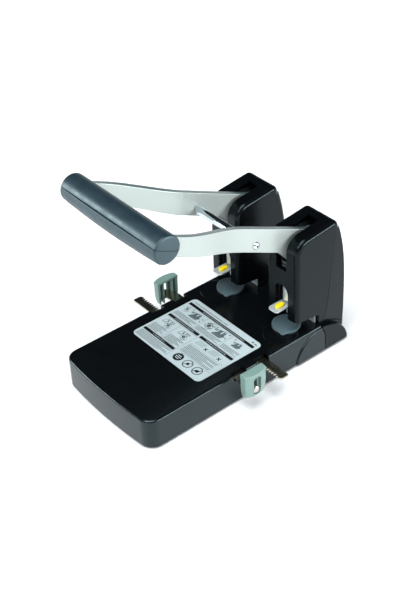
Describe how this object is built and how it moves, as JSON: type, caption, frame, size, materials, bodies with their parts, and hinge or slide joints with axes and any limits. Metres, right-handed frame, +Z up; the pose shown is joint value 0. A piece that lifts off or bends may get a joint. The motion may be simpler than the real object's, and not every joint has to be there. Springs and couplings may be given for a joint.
{
  "type": "hole punch",
  "caption": "Heavy duty desk hole punch with two towers, a long framed lever with a bar grip, toothed self-centring paper guides and turnable cutting discs.",
  "frame": {"origin": "on the desk, under the middle of the whole punch", "axes": "+X to the operator's right, +Y away from the operator towards the towers, +Z up"},
  "size_m": [0.183, 0.2416, 0.2123],
  "materials": {
    "black_plastic": "black satin moulding",
    "label_film": "pale printed film",
    "disc_plastic": "slate satin moulding",
    "guide_plastic": "grey-green satin moulding",
    "grip_plastic": "slate blue semi-gloss moulding",
    "yellow_plastic": "yellow moulding",
    "rubber": "black rubber",
    "silver_paint": "silver metallic paint",
    "nickel": "nickel plated",
    "bright_steel": "polished",
    "dark_steel": "dark phosphated steel",
    "spring_steel": "drawn wire"
  },
  "bodies": {
    "base": {"base_shell": "black_plastic", "base_plate": "dark_steel", "foot_1": "rubber", "foot_2": "rubber", "foot_3": "rubber", "foot_4": "rubber", "plate_screw_1": "nickel", "plate_screw_2": "nickel", "plate_screw_3": "nickel", "plate_screw_4": "nickel", "instruction_label": "label_film", "pinion_post": "dark_steel", "tower_cover_left": "black_plastic", "tower_cover_right": "black_plastic", "head_frame_left": "dark_steel", "head_frame_right": "dark_steel", "paper_stop_left": "bright_steel", "paper_stop_right": "bright_steel", "pivot_pin_left": "nickel", "pivot_pin_right": "nickel"},
    "lever": {"lever_arm_left": "silver_paint", "lever_arm_right": "silver_paint", "cross_bar": "bright_steel", "cross_bar_screw_left": "bright_steel", "cross_bar_screw_right": "bright_steel", "grip_upper": "grip_plastic", "grip_lower": "grip_plastic", "grip_core": "dark_steel"},
    "pin_left": {"punch_pin_left": "bright_steel", "return_spring_left": "spring_steel"},
    "clip_left": {"release_clip_left": "bright_steel"},
    "button_left": {"release_button_left": "yellow_plastic"},
    "disc_left": {"cutting_disc_left": "disc_plastic"},
    "rack_left": {"rack_left": "nickel", "guide_rivet_left": "bright_steel"},
    "guide_left": {"guide_block_left": "guide_plastic"},
    "pin_right": {"punch_pin_right": "bright_steel", "return_spring_right": "spring_steel"},
    "clip_right": {"release_clip_right": "bright_steel"},
    "button_right": {"release_button_right": "yellow_plastic"},
    "disc_right": {"cutting_disc_right": "disc_plastic"},
    "rack_right": {"rack_right": "nickel", "guide_rivet_right": "bright_steel"},
    "guide_right": {"guide_block_right": "guide_plastic"},
    "pinion": {"pinion": "nickel"}
  },
  "joints": [
    {"name": "lever_hinge", "type": "hinge", "parent": "base", "child": "lever", "pos_m": [0, 0.096, 0.1167], "axis": [1, 0, 0], "range_deg": [0, 22.5], "stiffness_Nm_per_rad": 2, "springref_deg": -34.38},
    {"name": "punch_pin_slide_left", "type": "slide", "parent": "base", "child": "pin_left", "axis": [0, 0, -1], "range_m": [0, 0.0112], "deforming": ["return_spring_left"]},
    {"name": "release_clip_slide_left", "type": "slide", "parent": "pin_left", "child": "clip_left", "axis": [0, -1, 0], "range_m": [0, 0.006]},
    {"name": "release_button_press_left", "type": "slide", "parent": "clip_left", "child": "button_left", "axis": [0, 0, -1], "range_m": [0, 0.0012], "stiffness_N_per_m": 150, "springref_m": -0.001},
    {"name": "cutting_disc_turn_left", "type": "hinge", "parent": "base", "child": "disc_left", "pos_m": [-0.04, 0.0636, 0.0326], "axis": [0, 0, 1], "continuous": true},
    {"name": "guide_rack_slide_left", "type": "slide", "parent": "base", "child": "rack_left", "axis": [-1, 0, 0], "range_m": [-0.012, 0.072]},
    {"name": "guide_block_height_left", "type": "slide", "parent": "rack_left", "child": "guide_left", "axis": [0, 0, 1], "range_m": [-0.012, 0]},
    {"name": "punch_pin_slide_right", "type": "slide", "parent": "base", "child": "pin_right", "axis": [0, 0, -1], "range_m": [0, 0.0112], "deforming": ["return_spring_right"]},
    {"name": "release_clip_slide_right", "type": "slide", "parent": "pin_right", "child": "clip_right", "axis": [0, -1, 0], "range_m": [0, 0.006]},
    {"name": "release_button_press_right", "type": "slide", "parent": "clip_right", "child": "button_right", "axis": [0, 0, -1], "range_m": [0, 0.0012], "stiffness_N_per_m": 150, "springref_m": -0.001},
    {"name": "cutting_disc_turn_right", "type": "hinge", "parent": "base", "child": "disc_right", "pos_m": [0.04, 0.0636, 0.0326], "axis": [0, 0, 1], "continuous": true},
    {"name": "guide_rack_slide_right", "type": "slide", "parent": "base", "child": "rack_right", "axis": [1, 0, 0], "range_m": [-0.012, 0.072]},
    {"name": "guide_block_height_right", "type": "slide", "parent": "rack_right", "child": "guide_right", "axis": [0, 0, 1], "range_m": [-0.012, 0]},
    {"name": "pinion_turn", "type": "hinge", "parent": "base", "child": "pinion", "pos_m": [0, 0.0009, 0.0287], "axis": [0, 0, 1], "range_deg": [-78, 452]}
  ],
  "couplings": [
    {"joint": "punch_pin_slide_left", "follows": "lever_hinge", "m_per_rad": 0.02827},
    {"joint": "punch_pin_slide_right", "follows": "lever_hinge", "m_per_rad": 0.02827},
    {"joint": "guide_rack_slide_left", "follows": "guide_rack_slide_right", "ratio": 1},
    {"joint": "pinion_turn", "follows": "guide_rack_slide_right", "rad_per_m": 108.7}
  ]
}
